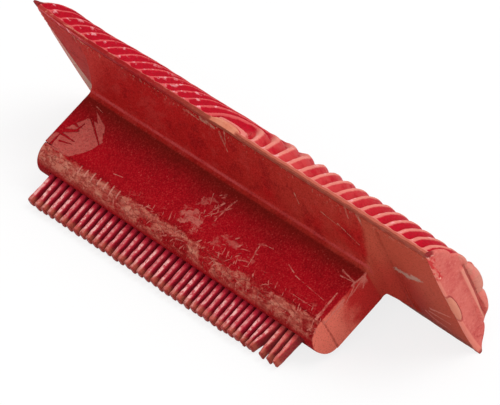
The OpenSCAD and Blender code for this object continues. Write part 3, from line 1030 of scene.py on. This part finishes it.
    broken = 0.35 + r.noise(1.6, 2, 0.6, seed=18).rise(0.42, 0.58) * 0.65
    web_marks = r.scratches(WEB_SCRATCHES, "XZ", 0.5) * on_web * broken
    web_marks = web_marks.max(r.scratches(WEB_END_SCRATCHES, "YZ", 0.9) * grip_end * 0.8)
    back_marks = r.scratches(BACK_SCRATCHES, "XY", 0.6) * on_back * broken
    far_marks = r.scratches(FAR_BACK_SCRATCHES, "XY", 1.2) * on_back
    dashes = r.dashes(0.8, 50, 21).max(r.dashes(0.7, -65, 23)).max(r.dashes(0.9, 15, 25) * 0.7)
    clusters = r.spot((2, HALF_GRIP, 16.5), (5, 9, 6.5), 1.0, 3, 7.0)
    clusters = clusters.max(r.spot((16, HALF_GRIP, 22), (6.5, 9, 4.5), 1.0, 3, 8.0))
    clusters = clusters.max(r.spot((22.5, HALF_GRIP, 19.5), (2.2, 9, 4.5), 1.0, 3, 7.0))
    bare = r.spot((-1, HALF_GRIP, 20), (4.5, 9, 2.2), 3.4, 2.2, 9.0)
    low_web = z.rise(20.5, 24) * x.rise(-24, -14)
    flecks = dashes * (clusters * 0.9).max(low_web * 0.9 * on_web).max(nose * 0.8)
    flecks = flecks.max(clusters * patches.rise(0.52, 0.6) * 0.4)
    flecks = flecks.max(bare * (0.1 + mottled * 0.6) * on_web)
    flecks = flecks.max(speck.rise(0.7, 0.76) * on_web * patches.rise(0.4, 0.6) * 0.35)
    edge_marks = dashes * on_back * y.rise(17, 21) * 0.7
    marks = web_marks.max(back_marks * 0.8).max(flecks).max(edge_marks).min(1.0)
    mark_colour = r.colour(196, 112, 100).mix(on_back, r.colour(172, 122, 104))
    r.paint(marks * 0.9, mark_colour)
    r.paint(far_marks * 0.8, 204, 130, 114)
    smears = r.scratches(SMEARS, "XY", 3.2) * on_back
    r.paint(smears * 0.85, 172, 138, 124)

    r.paint(speck.rise(0.48, 0.3) * 0.36, 76, 10, 8)
    r.paint(speck.rise(0.52, 0.7) * (0.22 - valley_shade * 0.12), 196, 66, 60)
    roughness = 0.55 + grain * 0.12 + nose * 0.1
    height = fine * 0.05 + cloud * 0.2 + marks * 0.05 + worn * 0.12 + nose * solid * 0.05
    return r.finish(roughness, height - cuts * 0.2 - cut_lines * nose * 0.05, shine=0.01)


def pad_rubber():
    """Bright red rubber with its ridge tops worn pale, partly as painted light at the right, with
    painted highlights, and painted shade round the eye and across the face's middle.
    """
    r = Rubber("bright red rubber", 186, 8, 36)
    phase = r.value("ring_phase")
    right = r.value("right_side")
    edge = r.value("edge_distance")
    eye = r.value("eye")
    fine = r.noise(0.8, 3, 0.65, seed=21)
    grain = (fine - 0.5) * 2
    patchy = r.noise(4, 3, 0.6, seed=22)
    r.paint(fine.rise(0.35, 0.75), 166, 14, 32)
    pinkish = right * r.x.rise(62, 30) * patchy.rise(0.25, 0.6)
    r.paint(pinkish * 0.75, 204, 70, 70)

    # Painted shade: away from the long edges on the left, the curved face is darkened where it
    # turns away towards its skyline.
    r.paint(edge.rise(9, 16) * (1 - right) * 0.6, 146, 6, 28)
    beside = phase + 0.5
    from_crest = abs(beside.fraction() - 0.5)
    first = phase.rise(1.6, 0.2)
    uneven = (patchy - 0.5) * 0.12
    thin = (from_crest + grain * 0.035 + uneven - first * 0.06).rise(0.11, 0.05)
    # The rolls at the right are painted pale over their tops and left red on their steep sides:
    # partly wear, and partly painted light falling from one side.
    turn = phase + ROLL_STEEP
    turn = turn.fraction() + grain * 0.06 + (patchy - 0.5) * 0.15
    broad = turn.rise(0.58, 0.46) * turn.rise(0.06, 0.12)
    crest = thin * (1 - right) + broad * right
    crest = crest * (phase + 0.5).rise(-0.2, 0.0)
    wider = r.x.rise(-50, -20) * r.x.rise(4, -4) * 0.7
    land = (edge + grain * 0.35 - patchy * 0.6 - wider).rise(LAND_W + 0.25, LAND_W - 0.15)
    pale = crest.max(land)
    rubbed_and_lit = r.colour(214, 92, 92).mix(right, r.colour(224, 136, 122))
    r.paint(pale * (0.55 + patchy * 0.55).min(1.0), rubbed_and_lit)
    # Painted highlight: small pinkish-white spots of reflected light on the ridge tops, fewer
    # towards the skyline.
    painted_glint = r.noise(1.6, 2, 0.6, (1, 2.5, 1), 24).rise(0.56, 0.66)
    painted_glint = painted_glint * (from_crest + grain * 0.08).rise(0.2, 0.1)
    r.paint(painted_glint * phase.rise(-0.2, 0.5) * edge.rise(11, 7) * 0.7, 236, 168, 172)
    boss = (eye + grain * 0.03).rise(1.0, 0.93)
    # Painted shade: a dark red ring in the crevice round the foot of the eye's boss.
    ring_of_boss = (abs(eye - 1.04) + grain * 0.02).rise(0.09, 0.03)
    r.paint(ring_of_boss * 0.6, 170, 40, 44)
    band = (eye + grain * 0.06).rise(1.85, 1.6) * phase.rise(-0.3, -0.6) * (1 - boss)
    r.paint(band * (1 - ring_of_boss) * 0.85, 222, 128, 118)
    boss_colour = r.colour(206, 118, 92).mix(patchy.rise(0.35, 0.65), r.colour(214, 134, 108))
    r.paint(boss, boss_colour)
    rim = (edge + grain * 0.2).rise(0.25, 0.0) * (eye + grain * 0.05).rise(0.75, 0.95)
    flaking = r.noise(3, 3, 0.65, seed=28).rise(0.48, 0.6)
    rim_colour = r.colour(160, 44, 40).mix(flaking, r.colour(202, 116, 98))
    rim_colour = rim_colour.mix(r.x.rise(-30, 5), r.colour(186, 92, 74))
    r.paint(rim * 0.9, rim_colour)
    layer_top = r.x.rise(-8, 20) * 0.5 - 0.95
    layer = (r.z - layer_top + grain * 0.15 + (patchy - 0.5) * 0.8).rise(-0.1, 0.1)
    layer = (layer * rim).max(r.z.rise(-0.2, -0.05))
    layer_colour = r.colour(146, 22, 24).mix(r.x.rise(-30, 0), r.colour(140, 62, 46))
    r.paint(layer * 0.9, layer_colour)
    roughness = 0.5 + pale * 0.12 + fine * 0.1
    height = fine * 0.08 + patchy * 0.1
    return r.finish(roughness, height)


def end_rubber():
    """Salmon rubber of the end pads, worn cream on their raised pattern, with painted shade beyond
    the ridge, between the folds and round the boss, and painted highlights on the folds.
    """
    r = Rubber("salmon rubber", 210, 108, 98)
    y, z = r.y, r.z
    fine = r.noise(0.7, 3, 0.65, seed=31)
    grain = (fine - 0.5) * 2
    patchy = r.noise(5, 3, 0.6, seed=32)
    r.paint(patchy.rise(0.35, 0.7), 198, 88, 82)
    r.paint(fine.rise(0.5, 0.75) * 0.6, 218, 130, 120)
    r.paint(fine.rise(0.45, 0.3) * 0.4, 180, 62, 62)

    (y0, z0), (y1, z1) = END_RIDGE
    tilt = (z1 - z0) / (y1 - y0)
    below = (y * tilt - z) + (z0 - y0 * tilt)
    beyond = (below + grain * 0.2).rise(0.6, 1.2)
    rolls = r.colour(216, 124, 112).mix(patchy.rise(0.45, 0.6), r.colour(208, 142, 124))
    r.paint(beyond * 0.7, rolls)
    on_line = y.rise(y0 + 0.6, y0) * y.rise(y1 - 0.6, y1)
    # Painted shade: the groove just beyond the straight ridge is darkened where the ridge shades
    # it; it is also sunk in the bump below.
    groove = (abs(below - 1.0) + grain * 0.2).rise(0.55, 0.2) * on_line
    r.paint(groove * 0.5, 160, 36, 42)
    ridge = (abs(below) + grain * 0.15).rise(0.65, 0.35) * on_line
    r.paint(ridge * 0.85, 222, 142, 124)
    creases = abs(r.noise(4.5, 2, 0.5, seed=35) - 0.5).rise(0.02, 0.0)
    lower = y.rise(-11, -15)
    r.paint(creases * (beyond * 0.4).max(lower) * 0.5, 160, 24, 36)

    top = END_CROWN - (y / HALF_W) ** 2 * END_CROWN
    strip = (top - z + grain * 0.12).rise(STRIP_W + 0.15, STRIP_W - 0.15)
    r.paint(strip * 0.7, 222, 132, 114)
    by_edge = (top - z + grain * 0.15).rise(1.9, 1.4) * y.rise(10.5, 12.5)
    # Painted shade: red in the creases between the folds along the edge.
    fold_shade = by_edge * r.noise(2.2, 2, 0.6, (1, 1.8, 1), 37).rise(0.44, 0.52)
    r.paint(fold_shade * 0.8, 194, 20, 36)
    # Painted highlight: pale spots of light on the ridges of the folds.
    painted_glint = by_edge * r.noise(1.8, 2, 0.6, (1, 1.8, 1), 39).rise(0.56, 0.62)
    r.paint(painted_glint, 230, 168, 150)
    bleached = strip * r.x.rise(-60, -70) * y.rise(22, 14)
    r.paint(bleached * 0.85, 202, 158, 144)

    away = r.start.vector("SUBTRACT", r.point, (HALF_LEN, BOSS_Y, END_CROWN - 0.4))
    away = r.start.vector("DIVIDE", away, (40, BOSS_SIZE[0], 1.25))
    oval = r.start.vector("LENGTH", away, out=1)
    # Painted shade: a dark red ring in the crevice round the foot of the boss; it is also pressed
    # into the bump.
    outline = (abs(oval - 1.03) + grain * 0.03).rise(0.12, 0.04) * r.x.rise(0, 60)
    r.paint(outline * 0.6, 156, 40, 44)
    boss = oval.rise(1.0, 0.94) * r.x.rise(0, 60)
    boss_colour = r.colour(216, 146, 122).mix(z.rise(-1.2, 1.2), r.colour(198, 120, 98))
    r.paint(boss * 0.9, boss_colour)
    tips = (abs(y) + grain * 0.3).rise(20.9, 21.8)
    r.paint(tips * 0.85, 120, 10, 22)
    roughness = 0.55 + fine * 0.15
    height = fine * 0.08 + patchy * 0.12 - groove * 0.2 - outline * 0.15
    return r.finish(roughness, height)


def comb_rubber():
    """Crimson rubber of the teeth, with pale streaks of chalk along them, a painted highlight down
    each tooth, and painted shade on their sides and roots.
    """
    r = Rubber("crimson rubber", 190, 34, 56)
    fine = r.noise(0.7, 3, 0.65, seed=41)
    side = r.value("tooth_side")
    streak = r.noise(1.0, 3, 0.7, (1.2, 3, 1.6), 42)
    r.paint(fine.rise(0.35, 0.75), 160, 24, 40)
    tone = r.noise(2.6, 1, 0.5, (1, 1, 4), 43)
    rubbed_and_lit = r.z.rise(HOLDER_BOTTOM + 0.6, HOLDER_BOTTOM + 2.6)
    streaky = streak.rise(0.4, 0.6) * (0.4 + tone.rise(0.4, 0.6) * 0.6)
    # Pale streaks of chalk, and a painted highlight down the middle of each tooth's face.
    chalk_and_highlight = side.rise(0.8, 0.35) * rubbed_and_lit * (0.15 + streaky)
    r.paint(chalk_and_highlight, 236, 174, 168)
    last = r.x.rise(GRIP_X1 - 18, GRIP_X1 - 8)
    r.paint(last * fine.rise(0.3, 0.6) * 0.6, 208, 108, 92)
    # Painted shade on each tooth's sides, where the next teeth shade them.
    r.paint(side.rise(0.8, 1.0) * 0.62, 96, 8, 18)
    chipped = (r.z + (fine - 0.5) * 1.5).rise(TIP_Z - 2.6, TIP_Z - 1.2)
    r.paint(chipped * 0.6, 178, 92, 72)
    tips = (r.z + (fine - 0.5) * 1.5).rise(TIP_Z - 0.9, TIP_Z - 0.2)
    r.paint(tips * 0.6, 120, 16, 26)
    # Painted shade at the roots of the teeth, under the overhang of the holder.
    roots = r.z.rise(HOLDER_BOTTOM + 1.6, HOLDER_BOTTOM - 0.2)
    r.paint(roots * 0.5, 92, 6, 14)
    roughness = 0.45 + fine * 0.2
    height = fine * 0.08 + streak * 0.1
    return r.finish(roughness, height, shine=0.06)


# ---------- Stage: floor, light and camera ----------

def floor():
    """A wide white floor that shows nearly plain white and still takes a soft shadow."""
    bpy.ops.mesh.primitive_plane_add(size=12)
    obj = started("floor")
    material = bpy.data.materials.new("white paper")
    material.use_nodes = True
    tree = material.node_tree
    tree.nodes.clear()
    start = Signal(tree)
    diffuse = start.add("ShaderNodeBsdfDiffuse", None, {"Color": (0.9, 0.9, 0.9, 1)})
    glow = start.add("ShaderNodeEmission", None, {"Color": (1, 1, 1, 1), "Strength": 1.0})
    path = tree.nodes.new("ShaderNodeLightPath")
    seen = Signal(tree, path.outputs["Is Camera Ray"])
    glossy = Signal(tree, path.outputs["Is Glossy Ray"])
    share = seen.max(glossy) * 0.8
    mixed = start.add("ShaderNodeMixShader", None, {0: share, 1: diffuse, 2: glow})
    output = tree.nodes.new("ShaderNodeOutputMaterial")
    tree.links.new(mixed.socket, output.inputs[0])
    obj.data.materials.append(material)


def lamp(name, place_at, size, power):
    """A soft square lamp that points at the middle of the object."""
    data = bpy.data.lights.new(name, "AREA")
    data.shape = "SQUARE"
    data.size = size
    data.energy = power
    obj = bpy.data.objects.new(name, data)
    bpy.context.scene.collection.objects.link(obj)
    middle = (cad_low + cad_high) / 2
    obj.location = middle + Vector(place_at)
    obj.rotation_euler = (-Vector(place_at)).to_track_quat("-Z", "Y").to_euler()


def lights():
    """Three soft lamps and a plain pale surround."""
    lamp("key", (0.35, 0.45, 1.1), 0.9, 9)
    lamp("fill", (0.9, -0.9, 0.7), 1.2, 6)
    lamp("left_fill", (-1.0, -0.3, 0.8), 1.2, 3)
    world = bpy.data.worlds.new("soft surround")
    world.use_nodes = True
    background = world.node_tree.nodes["Background"]
    background.inputs["Color"].default_value = (1, 1, 1, 1)
    background.inputs["Strength"].default_value = 0.55
    bpy.context.scene.world = world


# Where the camera looks, how far off it stands, its three angles in degrees, and its lens
CAMERA_TARGET = Vector((0.011687, 0.0, 0.022664))
CAMERA_DISTANCE = 1.3
CAMERA_AZIMUTH = 46.93
CAMERA_ELEVATION = 34.965
CAMERA_ROLL = 1.02
LENS_MM = 361.6


def camera():
    """Long lens from above the right end, on the grip's side."""
    azimuth = math.radians(CAMERA_AZIMUTH)
    elevation = math.radians(CAMERA_ELEVATION)
    roll = math.radians(CAMERA_ROLL)
    back = Vector((math.sin(azimuth) * math.cos(elevation),
                   -math.cos(azimuth) * math.cos(elevation),
                   math.sin(elevation)))
    data = bpy.data.cameras.new("camera")
    data.sensor_width = 36
    data.lens = LENS_MM
    obj = bpy.data.objects.new("camera", data)
    bpy.context.scene.collection.objects.link(obj)
    obj.rotation_mode = "QUATERNION"
    level = (-back).to_track_quat("-Z", "Y")
    obj.rotation_quaternion = level @ Matrix.Rotation(roll, 4, "Z").to_quaternion()
    obj.location = CAMERA_TARGET + back * CAMERA_DISTANCE
    bpy.context.scene.camera = obj


# ---------- The whole ----------

body = body_rubber()
ends = end_rubber()
graining_pad(pad_rubber())
handle_body(body)
comb_holder(body)
comb(comb_rubber())
end_pad("end_pad_right_rubber", 1, ends, "end_pad_right")
end_pad("end_pad_left_rubber", -1, ends, "end_pad_left", worn_flat=0.8)
floor()
lights()
camera()
bpy.context.scene.view_settings.view_transform = "Standard"
